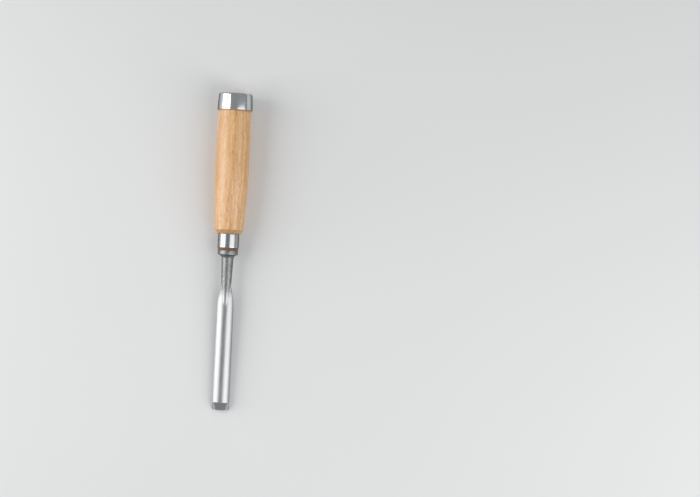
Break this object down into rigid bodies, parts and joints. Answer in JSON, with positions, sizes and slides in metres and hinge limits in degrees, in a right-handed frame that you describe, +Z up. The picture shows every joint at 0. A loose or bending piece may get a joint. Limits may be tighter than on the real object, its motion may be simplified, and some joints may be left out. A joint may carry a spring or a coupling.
{
  "type": "carving gouge",
  "caption": "Carving gouge for mallet work: hollow-ground steel blade with a bolster and tang, turned beech handle, steel ferrule and striking hoop.",
  "frame": {"origin": "on the surface that the tool lies on, under the middle of its length and on its mirror plane", "axes": "+Y from the cutting edge towards the striking end, +Z up, +X across the tool. The tool lies with its hollow down, on the corners of its cutting edge and on the widest part of its handle, so its own axis rises towards the striking end by 2.8 degrees"},
  "size_m": [0.0298, 0.2696, 0.0321],
  "materials": {
    "forged_steel": "satin ground, with a polished bevel",
    "plated_steel": "bright plated and lightly scuffed",
    "beech": "clear satin lacquer",
    "leather": "plain vegetable-tanned, cut edge"
  },
  "bodies": {
    "root": {"blade": "forged_steel", "leather_washer": "leather", "ferrule": "plated_steel", "handle": "beech", "striking_hoop": "plated_steel"}
  },
  "joints": []
}
